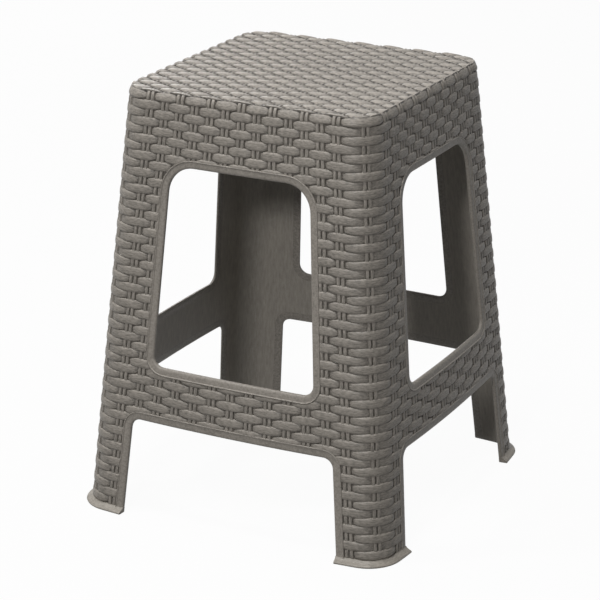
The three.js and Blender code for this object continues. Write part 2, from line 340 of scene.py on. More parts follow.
WEAVE_INPUTS = {
    "Form": "NodeSocketObject",
    "Finish": "NodeSocketMaterial",
    "First column": "NodeSocketInt",
    "Columns": "NodeSocketInt",
    "First row": "NodeSocketInt",
    "Rows": "NodeSocketInt",
    "Parity": "NodeSocketInt",
    "Top": "NodeSocketFloat",
    "Row pitch": "NodeSocketFloat",
    "Height": "NodeSocketFloat",
    "Origin at floor": "NodeSocketFloat",
    "Origin at seat": "NodeSocketFloat",
    "Pitch at floor": "NodeSocketFloat",
    "Pitch at seat": "NodeSocketFloat",
    "Length at floor": "NodeSocketFloat",
    "Length at seat": "NodeSocketFloat",
}


def weave_tree():
    """Puts one form on every other cell of a flat weave, whose columns may spread to the floor."""
    tree = bpy.data.node_groups.new("weave_cells", "GeometryNodeTree")
    for name, kind in WEAVE_INPUTS.items():
        tree.interface.new_socket(name, in_out="INPUT", socket_type=kind)
    tree.interface.new_socket("Geometry", in_out="OUTPUT", socket_type="NodeSocketGeometry")
    entry = tree.nodes.new("NodeGroupInput")
    given = {name: Value(tree, entry.outputs[name]) for name in WEAVE_INPUTS}

    index = add_node(tree, "GeometryNodeInputIndex")
    across = index.math("FLOORED_MODULO", given["Columns"])
    down = (index / given["Columns"]).math("FLOOR")
    column = given["First column"] + across
    row = given["First row"] + down
    level = given["Top"] - (row + 0.5) * given["Row pitch"]
    share = level / given["Height"]

    def spread(name):
        at_floor, at_seat = given[name + " at floor"], given[name + " at seat"]
        return at_floor + (at_seat - at_floor) * share

    place = add_node(tree, "ShaderNodeCombineXYZ", None, {
        "X": spread("Origin") + column * spread("Pitch"), "Y": level,
    })
    widening = (given["Origin at seat"] - given["Origin at floor"]) + column * (
        given["Pitch at seat"] - given["Pitch at floor"]
    )
    slant = (widening / given["Height"]).math("ARCTANGENT")
    chosen = column + row + given["Parity"]
    points = add_node(tree, "GeometryNodePoints", None, {
        "Count": given["Columns"] * given["Rows"], "Position": place,
    })
    form = add_node(tree, "GeometryNodeObjectInfo", None, {"Object": given["Form"]}, "Geometry")
    placed = add_node(tree, "GeometryNodeInstanceOnPoints", None, {
        "Points": points,
        "Selection": 1 - chosen.math("FLOORED_MODULO", 2),
        "Instance": form,
        "Rotation": add_node(tree, "ShaderNodeCombineXYZ", None, {"Z": 0 - slant}),
        "Scale": add_node(tree, "ShaderNodeCombineXYZ", None, {"X": spread("Length"), "Y": 1, "Z": 1}),
    })
    realized = add_node(tree, "GeometryNodeRealizeInstances", None, {"Geometry": placed})
    coloured = add_node(tree, "GeometryNodeSetMaterial", None, {
        "Geometry": realized, "Material": given["Finish"],
    })
    tree.links.new(coloured.socket, tree.nodes.new("NodeGroupOutput").inputs["Geometry"])
    return tree


# A shape is laid out flat, with a finish for each face. A weave's shape has many cells, all with as
# many points. A part is a shape once it is wrapped on the stool.
Shape = namedtuple("Shape", "points faces finishes cells", defaults=[1])
Part = namedtuple("Part", "points flat faces finishes")


def new_object(name, mesh):
    made = bpy.data.objects.new(name, mesh)
    bpy.context.scene.collection.objects.link(made)
    return made


def mesh_from(name, points, faces):
    mesh = bpy.data.meshes.new(name)
    mesh.from_pydata(points.tolist(), [], faces)
    return mesh


def points_of(mesh):
    points = np.empty(len(mesh.vertices) * 3)
    mesh.vertices.foreach_get("co", points)
    return points.reshape(-1, 3)


def evaluated(made):
    """The plain mesh that an object's modifier gives. The object goes."""
    bpy.context.view_layer.update()
    graph = bpy.context.evaluated_depsgraph_get()
    mesh = bpy.data.meshes.new_from_object(made.evaluated_get(graph))
    bpy.data.objects.remove(made)
    return mesh


def shape_from(mesh, finish, count=1):
    faces = [tuple(face.vertices) for face in mesh.polygons]
    return Shape(points_of(mesh), faces, [finish] * len(faces), count)


def cells(form, finish, **inputs):
    """Cells of a weave, grown by the weave tree."""
    carrier = new_object("weave", bpy.data.meshes.new("weave"))
    modifier = carrier.modifiers.new("weave", "NODES")
    modifier.node_group = WEAVE_TREE
    values = {"Form": form, "Finish": MATERIALS[finish], "Height": SEAT_HEIGHT, **inputs}
    for item in WEAVE_TREE.interface.items_tree:
        if item.in_out == "INPUT":
            modifier[item.identifier] = values[item.name]
    mesh = evaluated(carrier)
    return shape_from(mesh, finish, len(mesh.vertices) // len(form.data.vertices))


def prism(outline, low, high):
    """A closed solid with an outline that runs anticlockwise."""
    count = len(outline)
    points = np.concatenate([
        np.column_stack([outline, np.full(count, low)]),
        np.column_stack([outline, np.full(count, high)]),
    ])
    ring = [(i, (i + 1) % count) for i in range(count)]
    sides = [(a, b, b + count, a + count) for a, b in ring]
    ends = [tuple(reversed(range(count))), tuple(range(count, 2 * count))]
    return mesh_from("prism", points, sides + ends)


# How far a cutter reaches to each side of the face, and below the floor.
CUTTER_REACH = 10 * MM


def within(outline, spots):
    """Whether each spot lies within an outline: a line from it crosses the outline an odd number
    of times."""
    x, y = spots.T
    odd = np.zeros(len(spots), bool)
    for (ax, ay), (bx, by) in zip(outline, np.roll(outline, -1, axis=0)):
        if ay != by:
            odd ^= ((ay > y) != (by > y)) & (x < ax + (bx - ax) * (y - ay) / (by - ay))
    return odd


def picked(shape, chosen):
    """The chosen cells of a weave."""
    points = shape.points.reshape(shape.cells, -1, 3)[chosen]
    size, count = points.shape[1], len(points)
    pattern = shape.faces[: len(shape.faces) // shape.cells]
    faces = [tuple(i + size * cell for i in face) for cell in range(count) for face in pattern]
    return Shape(points.reshape(-1, 3), faces, [shape.finishes[0]] * len(faces), count)


def cut(shape, outline, operation):
    body = new_object("body", mesh_from("body", shape.points, shape.faces))
    cutter = new_object("cutter", prism(outline, -CUTTER_REACH, CUTTER_REACH))
    modifier = body.modifiers.new("cut", "BOOLEAN")
    modifier.solver = "EXACT"
    modifier.use_self = True
    modifier.operation = operation
    modifier.object = cutter
    mesh = evaluated(body)
    bpy.data.objects.remove(cutter)
    return shape_from(mesh, shape.finishes[0])


def fitted(shape, outlines, operation="DIFFERENCE"):
    """The cells of a weave outside some outlines, or inside them. Only the cells on an edge are cut."""
    spots = shape.points[:, :2]
    whole = np.ones(shape.cells, bool)
    some = np.ones(shape.cells, bool)
    for outline in outlines:
        fits = within(outline, spots) == (operation == "INTERSECT")
        whole &= fits.reshape(shape.cells, -1).all(axis=1)
        some &= fits.reshape(shape.cells, -1).any(axis=1)
    on_edge = picked(shape, some & ~whole)
    for outline in outlines:
        if len(on_edge.points):
            on_edge = cut(on_edge, outline, operation)
    return [piece for piece in (picked(shape, whole), on_edge) if len(piece.points)]


def wrapped(shape, place):
    return Part(place(shape.points), shape.points, shape.faces, shape.finishes)


# What the triangulation of a bed keeps, and how close two of its points may come.
INSIDE_OUTLINE = 1
NEARNESS = 1e-7


def plate(outline, alongs, levels):
    """The sunk bed of a weave, with the wall under it, inside an outline that runs anticlockwise."""
    inside = [(a, z) for a in alongs for z in levels]
    spots = [Vector(p) for p in [*outline.tolist(), *inside]]
    ring = list(range(len(outline)))
    made = delaunay_2d_cdt(spots, [], [ring], INSIDE_OUTLINE, NEARNESS)
    flat = np.array([tuple(v) for v in made[0]])
    triangles = [tuple(face) for face in made[2]]
    edges = {(t[i], t[(i + 1) % 3]) for t in triangles for i in range(3)}
    rim = [(a, b) for a, b in edges if (b, a) not in edges]
    count = len(flat)
    points = np.concatenate([
        np.column_stack([flat, np.full(count, -WALL)]),
        np.column_stack([flat, np.full(count, -BED_SINK)]),
    ])
    faces = [tuple(reversed(t)) for t in triangles]
    faces += [tuple(i + count for i in t) for t in triangles]
    faces += [(a, b, b + count, a + count) for a, b in rim]
    finishes = ["wall"] * len(triangles) + ["bed"] * len(triangles) + ["wall"] * len(rim)
    return Shape(points, faces, finishes)


def loft(loops, closed, finish):
    """A closed body through loops of flat points. Each loop is a section of it, and the sections
    run round in a ring or have a face at each end."""
    count = len(loops[0])
    points = np.concatenate(loops)
    faces = []
    steps = len(loops) if closed else len(loops) - 1
    for j in range(steps):
        a, b = j * count, (j + 1) % len(loops) * count
        for i in range(count):
            k = (i + 1) % count
            faces.append((a + i, b + i, b + k, a + k))
    if not closed:
        last = steps * count
        faces.append(tuple(range(count)))
        faces.append(tuple(last + i for i in reversed(range(count))))
    return Shape(points, faces, [finish] * len(faces))


# The forms that the weave repeats. A strand has points at these shares of its half height, and its
# ends are rounded by a share of its reach. A higher crown makes its top flatter across, and a higher
# bluntness keeps it at its full height closer to its ends.
ACROSS_SHARES = (-1, -0.93, -0.8, -0.5, 0.5, 0.8, 0.93, 1)
END_ROUNDING = 0.07
CROWN = 8
BLUNTNESS = 3.6


def level_rise(share):
    return STRAND_RISE


def strand_form(name, steps, half_height, rise=level_rise, crown=CROWN, bluntness=BLUNTNESS):
    """The stretch of a strand that shows between two stakes: a cushion one unit long to each side,
    with real sizes across it and up, which may change along it."""
    points, rows = [], len(ACROSS_SHARES)
    for u in np.sin(np.linspace(-QUARTER, QUARTER, steps + 1)):
        for v in ACROSS_SHARES:
            swell = math.sqrt((1 - abs(v) ** crown) * max(0, 1 - abs(u) ** bluntness))
            points.append((
                u * (1 - END_ROUNDING * abs(v) ** 3),
                v * half_height(u),
                -ROOT_SINK + (ROOT_SINK + rise(u)) * swell,
            ))
    faces = [
        (i * rows + j, (i + 1) * rows + j, (i + 1) * rows + j + 1, i * rows + j + 1)
        for i in range(steps)
        for j in range(rows - 1)
    ]
    last = steps * rows
    for i in range(steps):
        a, b = i * rows, (i + 1) * rows
        faces.append((a, a + rows - 1, b + rows - 1, b))
    faces.append(tuple(reversed(range(rows))))
    faces.append(tuple(last + j for j in range(rows)))
    return new_object(name, mesh_from(name, np.array(points), faces))


def swelling(middle, tip, fullness):
    """A half height that falls from the middle of a strand to its tips."""
    return lambda share: middle - (middle - tip) * abs(share) ** fullness


def one_sided(side, crest, at_crest, at_tip, at_corner, fullness=2.4, corner_fullness=1.4):
    """A size that is largest at a crest, with a tip on one side and the stool's corner on the other."""

    def size(share):
        past = side * share - crest
        if past < 0:
            return at_crest - (at_crest - at_tip) * abs(past / (1 + crest)) ** fullness
        return at_crest + (at_corner - at_crest) * (past / (1 - crest)) ** corner_fullness

    return size


# Places across a rib's section and heights, as shares of half its width and of its height.
STAKE_SECTION_SHARES = ((-1, 0), (-0.92, 0.72), (-0.6, 1), (0.6, 1), (0.92, 0.72), (1, 0))


def stake_form(
    name, half_length, rise=STAKE_RISE, dip=0.5 * MM, steps=4, width=STAKE_WIDTH, spacing=STAKE_SPACING
):
    """The pair of ribs of one stake where it shows, each arched a little over the strand."""
    pair = []
    for side in (-0.5, 0.5):
        ribs = []
        for step in range(steps + 1):
            y = half_length * (2 * step / steps - 1)
            top = rise - dip * (y / half_length) ** 2
            ribs.append(np.array([
                (
                    side * spacing + across * width / 2,
                    y,
                    -ROOT_SINK + (ROOT_SINK + top) * up,
                )
                for across, up in STAKE_SECTION_SHARES
            ]))
        pair.append(loft(ribs, False, "stake"))
    points = np.concatenate([shape.points for shape in pair])
    shift = len(pair[0].points)
    faces = pair[0].faces + [tuple(i + shift for i in face) for face in pair[1].faces]
    return new_object(name, mesh_from(name, points, faces))


# Materials.
def srgb(red, green, blue):
    """A colour written as on a screen, from 0 to 255, as light."""
    shares = [value / 255 for value in (red, green, blue)]
    return tuple(s / 12.92 if s <= 0.04045 else ((s + 0.055) / 1.055) ** 2.4 for s in shares)


# The plastic's grain. Its tone is between the darkest and the lightest share of its colour, and is
# plain where the noise has its middle value.
DARKEST_SHARE = 0.15
LIGHTEST_SHARE = 1.33
PLAIN_TONE = 0.72
STREAK_SCALE = 850.0
SPECKLE_SCALE = 1300.0
SPECKLE_TONE = 0.35
CLOUD_SCALE = 12.0
CLOUD_TONE = 0.16
GRAIN_DEPTH = 0.16 * MM
ROUGHNESS_RANGE = 0.2
GLOSS = 0.45


def plastic(name, colour, roughness, grain=(1, 1, 1), streak=1.6, painted_shade=0.0):
    """Satin moulded plastic, with streaks that are drawn out where the grain is below 1, and painted
    shade that darkens the hollows of the weave, where shadow falls. The last two arguments say how
    strong the two are."""
    material = bpy.data.materials.new(name)
    material.use_nodes = True
    tree = material.node_tree
    tree.nodes.clear()
    flat = add_node(tree, "ShaderNodeAttribute", {"attribute_name": "flat"}, None, "Vector")
    height = add_node(tree, "ShaderNodeSeparateXYZ", None, {"Vector": flat}, "Z")
    place = add_node(tree, "ShaderNodeTexCoord", None, None, "Object")
    drawn = add_node(tree, "ShaderNodeMapping", None, {"Vector": flat, "Scale": grain})
    streaks = add_node(tree, "ShaderNodeTexNoise", None, {
        "Vector": drawn, "Scale": STREAK_SCALE, "Detail": 3.0, "Roughness": 0.65,
    }, "Fac")
    speckle = add_node(tree, "ShaderNodeTexNoise", None, {
        "Vector": place, "Scale": SPECKLE_SCALE, "Detail": 2.0, "Roughness": 0.5,
    }, "Fac")
    cloud = add_node(tree, "ShaderNodeTexNoise", None, {
        "Vector": place, "Scale": CLOUD_SCALE, "Detail": 3.0,
    }, "Fac")
    # Painted shade: the colour darkens from the top of the strands down into the bed, where the weave's
    # shadow falls.
    hollow = add_node(tree, "ShaderNodeMapRange", {"clamp": True}, {
        "Value": height, "From Min": -BED_SINK, "From Max": STRAND_RISE, "To Min": 1.0, "To Max": 0.0,
    })
    tone = (streaks - 0.5) * streak + (speckle - 0.5) * SPECKLE_TONE + (cloud - 0.5) * CLOUD_TONE
    light = add_node(tree, "ShaderNodeMix", {"data_type": "RGBA"}, {
        "Factor": tone + PLAIN_TONE - hollow * painted_shade,
        "A": (*[c * DARKEST_SHARE for c in colour], 1),
        "B": (*[min(1, c * LIGHTEST_SHARE) for c in colour], 1),
    }, 2)
    bump = add_node(tree, "ShaderNodeBump", None, {
        "Height": streaks * 0.6 + speckle * 0.4, "Strength": 0.5, "Distance": GRAIN_DEPTH,
    })
    shader = add_node(tree, "ShaderNodeBsdfPrincipled", None, {
        "Base Color": light,
        "Roughness": (speckle - 0.5) * ROUGHNESS_RANGE + roughness,
        "Specular IOR Level": GLOSS,
        "Normal": bump,
    })
    add_node(tree, "ShaderNodeOutputMaterial", None, {"Surface": shader})
    return material


TAUPE = srgb(136, 130, 122)
# A paler copy of the one taupe plastic for the seat's strands: painted light on the stool's top.
PAINTED_LIGHT_SEAT_TAUPE = srgb(153, 146, 137)
# A darker copy of the one taupe plastic: painted shade on the sunk bed between strands and stakes.
PAINTED_SHADE_TAUPE = srgb(98, 93, 87)
SMOOTH_TAUPE = srgb(138, 132, 124)
LIP_TAUPE = srgb(142, 136, 127)
INNER_TAUPE = srgb(154, 148, 139)
MATERIALS = {
    "strand": plastic("strand_plastic", TAUPE, 0.5, (0.25, 1, 1), 1.9, 0.35),
    "stake": plastic("stake_plastic", TAUPE, 0.5, (1, 0.25, 1), 1.9, 0.35),
    # The seat's strands sink towards their right ends, so their strong painted shade leaves them lighter
    # at the left: painted light from the left.
    "seat_strand": plastic("seat_strand_plastic", PAINTED_LIGHT_SEAT_TAUPE, 0.5, (0.3, 1, 1), 2, 0.9),
    # The sunk bed takes the darker taupe: painted shade in the gaps of the weave.
    "bed": plastic("bed_plastic", PAINTED_SHADE_TAUPE, 0.6),
    "wall": plastic("wall_plastic", INNER_TAUPE, 0.55, (0.5, 0.1, 1), 0.7),
    "trim": plastic("trim_plastic", SMOOTH_TAUPE, 0.48, (0.5, 0.5, 1), 1.2),
    "lip": plastic("lip_plastic", LIP_TAUPE, 0.48, (0.3, 0.3, 1), 1.2),
    "rib": plastic("rib_plastic", TAUPE, 0.6, (1, 1, 1), 0.7),
}
FINISHES = list(MATERIALS)
# Edges that bend more than this stay sharp.
SHARP_ANGLE = math.radians(50)


def finished(name, parts, node, quarters=0):
    """One finished piece, made from parts that may be turned to another face."""
    points = turned(np.concatenate([part.points for part in parts]), quarters)
    flat = np.concatenate([part.flat for part in parts])
    faces, finishes, start = [], [], 0
    for part in parts:
        faces += [tuple(i + start for i in face) for face in part.faces]
        finishes += part.finishes
        start += len(part.points)
    mesh = mesh_from(name, points, faces)
    used = [finish for finish in FINISHES if finish in finishes]
    for finish in used:
        mesh.materials.append(MATERIALS[finish])
    mesh.polygons.foreach_set("material_index", [used.index(finish) for finish in finishes])
    attribute = mesh.attributes.new("flat", "FLOAT_VECTOR", "POINT")
    attribute.data.foreach_set("vector", flat.ravel())
    mesh.polygons.foreach_set("use_smooth", [True] * len(faces))
    mesh.set_sharp_from_angle(angle=SHARP_ANGLE)
    made = new_object(name, mesh)
    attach(made, "root")
    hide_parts(node)


WEAVE_TREE = weave_tree()

# Strands and stakes as they show on the sides, round a corner, on the rolled edge and on the seat.
# An edge strand, next to a corner, is widest at its crest, away from the corner, and sinks towards
# the corner and stops short of it.
CREST = -0.26
CORNER_SETBACK = 1.8 * MM
ROLL_ROW_SHARE = 0.37
SIDE_STRAND = strand_form("side_strand", 12, swelling(5 * MM, 3.2 * MM, 4))
CORNER_STRAND = strand_form("corner_strand", 20, swelling(4.9 * MM, 3.7 * MM, 3), bluntness=6)
EDGE_STRANDS = {
    side: strand_form(
        "edge_strand", 14, one_sided(side, CREST, 4.95 * MM, 3.2 * MM, 4.5 * MM, 4),
        one_sided(side, CREST, STRAND_RISE, STRAND_RISE, 0.1 * MM),
    )
    for side in (-1, 1)
}
SIDE_STAKE = stake_form("side_stake", 5.8 * MM)
CORNER_STAKE = stake_form("corner_stake", 5.6 * MM, rise=0.7 * MM)
ROLL_STRAND = strand_form("roll_strand", 10, swelling(4.8 * MM, 3.8 * MM, 3))
ROLL_CORNER_STRAND = strand_form("roll_corner_strand", 16, swelling(4.8 * MM, 3.6 * MM, 3), bluntness=6)
ROLL_STAKE = stake_form("roll_stake", 6.4 * MM, rise=1 * MM, dip=0.8 * MM, steps=8)
SEAT_STRAND = strand_form(
    "seat_strand", 12, swelling(7.1 * MM, 2.4 * MM, 1.5),
    one_sided(1, -0.45, STRAND_RISE, 0.7 * MM, -0.4 * MM, 2), crown=4.5, bluntness=6,
)
SEAT_STAKE = stake_form(
    "seat_stake", 3.2 * MM, rise=-0.25 * MM, dip=0.4 * MM, width=2.9 * MM, spacing=4.8 * MM,
)
FORMS = (
    SIDE_STRAND, CORNER_STRAND, *EDGE_STRANDS.values(), SIDE_STAKE, CORNER_STAKE,
    ROLL_STRAND, ROLL_CORNER_STRAND, ROLL_STAKE, SEAT_STRAND, SEAT_STAKE,
)

CORNER_AT_FLOOR = Outline(0.0).reach - SIDE_STAKES * FLOOR_PITCH
CORNER_AT_SEAT = Outline(ROLL_HEIGHT).reach - SIDE_STAKES * SEAT_PITCH


def side_rows(low, high):
    """The first row and the number of rows whose middles lie between two heights."""
    first = max(0, math.ceil((ROLL_HEIGHT - high) / STRAND_PITCH - 0.5))
    last = min(SIDE_ROWS - 1, math.floor((ROLL_HEIGHT - low) / STRAND_PITCH - 0.5))
    return {
        "First row": first, "Rows": last - first + 1, "Row pitch": STRAND_PITCH, "Top": ROLL_HEIGHT,
    }


def linear(name, at_floor, at_seat):
    return {name + " at floor": at_floor, name + " at seat": at_seat}


def face_weave(low, high):
    """Strands and stakes between the posts of a face."""
    columns = {
        "First column": -APRON_STAKES, "Columns": 2 * APRON_STAKES + 1,
        **linear("Origin", 0.0, 0.0), **linear("Pitch", FLOOR_PITCH, SEAT_PITCH),
        **side_rows(low, high),
    }
    reach = linear("Length", FLOOR_PITCH - STRAND_SETBACK, SEAT_PITCH - STRAND_SETBACK)
    return [
        cells(SIDE_STRAND, "strand", Parity=0, **columns, **reach),
        cells(SIDE_STAKE, "stake", Parity=1, **columns, **linear("Length", 1.0, 1.0)),
    ]


def post_weave():
    """Strands and stakes of a post, from the corner outwards on both faces."""
    shapes = []
    rows = side_rows(0, ROLL_HEIGHT)

    def column(form, finish, parity, origin, length=(1.0, 1.0)):
        shapes.append(cells(
            form, finish, Parity=parity, **{"First column": 0, "Columns": 1},
            **linear("Origin", *origin), **linear("Pitch", 0.0, 0.0),
            **linear("Length", *length), **rows,
        ))

    corner = np.array([CORNER_AT_FLOOR, CORNER_AT_SEAT])
    pitches = np.array([FLOOR_PITCH, SEAT_PITCH])
    reach = pitches - STRAND_SETBACK
    edge_end = corner + reach
    for side in (-1, 1):
        column(SIDE_STRAND, "strand", 1, side * (corner + pitches), reach)
        column(SIDE_STAKE, "stake", 0, side * (corner + pitches))
        middle = (edge_end + CORNER_SETBACK) / 2
        column(EDGE_STRANDS[-side], "strand", 0, side * middle, edge_end - middle)
        column(SIDE_STAKE, "stake", 1, side * corner)
    column(CORNER_STRAND, "strand", 1, (0.0, 0.0), corner - STRAND_SETBACK)
    column(CORNER_STAKE, "stake", 0, (0.0, 0.0))
    return shapes


def from_corner(outline, side):
    """An outline of the front face, or of the right one, measured from their corner."""
    reach = Outline(outline[:, 1]).reach
    past = outline[:, 0] - reach
    if side < 0:
        return np.column_stack([past, outline[:, 1]])
    return np.column_stack([-past, outline[:, 1]])[::-1]


# Points inside the outline of a bed, which let it bend with a face or round a corner.
FACE_ALONGS = np.arange(-96, 97, 8) * MM
CORNER_ALONGS = np.concatenate([
    np.arange(-72, -20, 8), np.arange(-20, 20.1, 2.5), np.arange(28, 73, 8),
]) * MM
LEVELS = np.arange(12, 437, 12) * MM
STRETCHER_LEVELS = np.arange(120, 176, 8) * MM
# Points between the corners of a post's upper end, and of its lower one.
POST_END_POINTS = 39


def aprons():
    ring = window_outline(WINDOW_TRIM_WIDTH)
    arc = ARC_STEPS + 1
    start = 2 * (arc + RUN_STEPS - 1)
    under = ring[start : start + 2 * arc + RUN_STEPS - 1][::-1]
    top = run(np.array([seam(ROLL_HEIGHT), ROLL_HEIGHT]), np.array([-seam(ROLL_HEIGHT), ROLL_HEIGHT]))
    ends = [np.array([[side * seam(ROLL_HEIGHT), ROLL_HEIGHT]]) for side in (1, -1)]
    outline = np.concatenate([under, ends[0], top, ends[1]])
    bed = plate(outline, FACE_ALONGS, LEVELS[LEVELS > WINDOW_TOP - WINDOW_UPPER_RADIUS])
    hole = window_outline(WINDOW_TRIM_WIDTH + GROOVE)
    weave = [piece for shape in face_weave(WINDOW_TOP, ROLL_HEIGHT) for piece in fitted(shape, [hole])]
    parts = [wrapped(shape, on_face) for shape in [bed, *weave]]
    for quarters, side in enumerate(SIDES):
        finished(side + "_apron_weave", parts, side + "_apron", quarters)


def stretchers():
    ring = window_outline(WINDOW_TRIM_WIDTH)
    over = ring[: 2 * (ARC_STEPS + 1) + RUN_STEPS - 1][::-1]
    low = LEG_OPENING_HEIGHT + LEG_TRIM_WIDTH
    ends = np.array([[-seam(low), low], [seam(low), low]])
    outline = np.concatenate([ends[:1], run(ends[0], ends[1]), ends[1:], over])
    bed = plate(outline, FACE_ALONGS, STRETCHER_LEVELS)
    window = window_outline(WINDOW_TRIM_WIDTH + GROOVE)
    leg_opening = leg_opening_outline(LEG_TRIM_WIDTH + GROOVE, -CUTTER_REACH)[::-1]
    weave = [
        piece
        for shape in face_weave(LEG_OPENING_HEIGHT, WINDOW_BOTTOM)
        for piece in fitted(shape, [window, leg_opening])
    ]
    parts = [wrapped(shape, on_face) for shape in [bed, *weave]]
    for quarters, side in enumerate(SIDES):
        finished(side + "_stretcher_weave", parts, side + "_stretcher", quarters)


def posts():
    leg = leg_opening_outline(LEG_TRIM_WIDTH)
    right_half = leg[len(leg) // 2 :]
    inner = right_half[right_half[:, 0] > seam(right_half[:, 1])]
    low = LEG_OPENING_HEIGHT + LEG_TRIM_WIDTH
    foot = np.array([seam(low), low])
    top = np.array([seam(ROLL_HEIGHT), ROLL_HEIGHT])
    edge = np.concatenate([inner[::-1], [foot], run(foot, top), [top]])
    front = from_corner(edge, -1)[::-1]
    back = from_corner(edge, 1)[::-1]
    across = np.linspace(front[0, 0], back[-1, 0], POST_END_POINTS + 2)[1:-1]
    across_low = np.linspace(front[-1, 0], back[0, 0], POST_END_POINTS + 2)[1:-1]
    upper = np.column_stack([across[::-1], np.full(POST_END_POINTS, ROLL_HEIGHT)])
    lower = np.column_stack([across_low, np.full(POST_END_POINTS, LIP_HEIGHT)])
    outline = np.concatenate([front, lower, back, upper])
    bed = plate(outline, CORNER_ALONGS, LEVELS)
    opening = leg_opening_outline(LEG_TRIM_WIDTH + GROOVE, -CUTTER_REACH)[::-1]
    window = window_outline(WINDOW_TRIM_WIDTH + GROOVE)
    holes = [from_corner(hole, side) for side in (-1, 1) for hole in (window, opening)]
    weave = [piece for shape in post_weave() for piece in fitted(shape, holes)]
    parts = [wrapped(shape, on_corner) for shape in [bed, *weave]]
    for quarters, corner in enumerate(CORNERS):
        finished(corner + "_post_weave", parts, corner + "_post", quarters)


TRIM_EDGE = 0.28 * MM
TRIM_BAND_RISE = 0.45 * MM
TRIM_RIM_RISE = 1.15 * MM
TRIM_RIM_WIDTH = 1.7 * MM
# Places across a trim, with their heights, of its round edge at the opening.
TRIM_ROUNDING = [
    (0, -1.3 * MM), (0.25 * MM, -0.65 * MM), (0.8 * MM, -0.1 * MM), (1.6 * MM, 0.25 * MM),
    (2.6 * MM, TRIM_BAND_RISE),
]


def trim_section(width):
    """Places across a trim, with their heights: a round edge at the opening, a flat band and a
    narrow rim next to the weave."""
    edge, band, rim = TRIM_EDGE, TRIM_BAND_RISE, TRIM_RIM_RISE
    rim_start = width - TRIM_RIM_WIDTH
    return [
        (0, edge - WALL), *TRIM_ROUNDING, (rim_start, band),
        (rim_start + edge, rim - edge), (rim_start + 2 * edge, rim),
        (width - 2 * edge, rim), (width - edge / 2, rim - edge), (width, band),
        (width, -BED_SINK), (width, -WALL), (width / 2, -WALL), (edge, -WALL),
    ]


def trims():
    sections = [
        (window_outline, WINDOW_TRIM_WIDTH, True, "window_frame", "window_trim"),
        (leg_opening_outline, LEG_TRIM_WIDTH, False, "leg_opening_edge", "leg_opening_trim"),
    ]
    for outline, width, closed, name, node in sections:
        lines = [
            np.column_stack([outline(margin), np.full(len(outline(margin)), height)])
            for margin, height in trim_section(width)
        ]
        loops = [np.array(section) for section in zip(*lines)]
        if not closed:
            loops = loops[::-1]
        part = wrapped(loft(loops, closed, "trim"), on_face)
        for quarters, side in enumerate(SIDES):
            finished(f"{side}_{name}", [part], f"{side}_{node}", quarters)


# Points round the section of a foot's lip, each as its heights above the face and above the floor.
LIP_SECTION = [
    (-WALL, 0.4 * MM), (0.4 * MM - WALL, 0), (LIP_FLARE - 1.6 * MM, 0), (LIP_FLARE - 0.5 * MM, 0.4 * MM),
    (LIP_FLARE, 1.3 * MM), (LIP_FLARE - 0.3 * MM, 2.2 * MM), (LIP_FLARE - 1.6 * MM, 2.9 * MM),
    (LIP_FLARE - 3.4 * MM, 3.6 * MM), (1.4 * MM, 4.6 * MM), (0.6 * MM, 5.6 * MM), (0.1 * MM, 6 * MM),
    (-BED_SINK, 6.1 * MM), (-BED_SINK, LIP_HEIGHT), (-WALL, LIP_HEIGHT),
]
LIP_STEPS = 48


def feet():
    loops = []
    for step in range(LIP_STEPS + 1):
        share = 2 * step / LIP_STEPS - 1
        loops.append(np.array([
            (share * (Outline(z).reach - leg_opening_half(z)), z, height)
            for height, z in LIP_SECTION
        ]))
    part = wrapped(loft(loops[::-1], False, "lip"), on_corner)
    for quarters, corner in enumerate(CORNERS):
        finished(corner + "_foot", [part], corner + "_foot_lip", quarters)


# Points of the seat's bed along one side and round one corner, and rings up its rolled edge.
BED_SIDE_POINTS = 21
BED_CORNER_POINTS = 11
BED_RINGS = 9
# Points of the border of the seat's weave along one side and round one corner.
BORDER_SIDE_POINTS = 9
BORDER_CORNER_POINTS = 7


def edge_alongs(outline, side_points, corner_points):
    """Distances along one side of the seat's edge and round the corner after it."""
    start, end = outline.tangent, 2 * outline.reach - outline.tangent
    return np.concatenate([
        np.linspace(-start, start, side_points), np.linspace(start, end, corner_points + 2)[1:-1],
    ])


def seat_bed():
    """The seat's own shell under its weave: a flat with a rolled edge, hollow below."""
    alongs = edge_alongs(Outline(ROLL_HEIGHT), BED_SIDE_POINTS, BED_CORNER_POINTS)

    def ring(up, height):
        flat = np.column_stack([alongs, np.full(len(alongs), up), np.full(len(alongs), height)])
        points = on_roll(flat)
        return np.concatenate([turned(points, quarters) for quarters in range(4)]), flat

    steps = np.linspace(0, ROLL_LENGTH, BED_RINGS)
    rings = [ring(up, -BED_SINK) for up in steps] + [ring(up, -WALL) for up in steps[::-1]]
    count = 4 * len(alongs)
    points = np.concatenate([made[0] for made in rings])
    flat = np.concatenate([np.tile(made[1], (4, 1)) for made in rings])
    faces = []
    half = BED_RINGS
    for j in [*range(half - 1), *range(half, 2 * half)]:
        a, b = j * count, (j + 1) % (2 * half) * count
        for i in range(count):
            k = (i + 1) % count
            faces.append((a + i, a + k, b + k, b + i))
    faces.append(tuple((half - 1) * count + i for i in range(count)))
    faces.append(tuple(half * count + i for i in reversed(range(count))))
    top = (half - 1) * count
    finishes = ["bed"] * top + ["wall"] * (len(faces) - top - 2) + ["bed", "wall"]
    return Part(points, flat, faces, finishes)


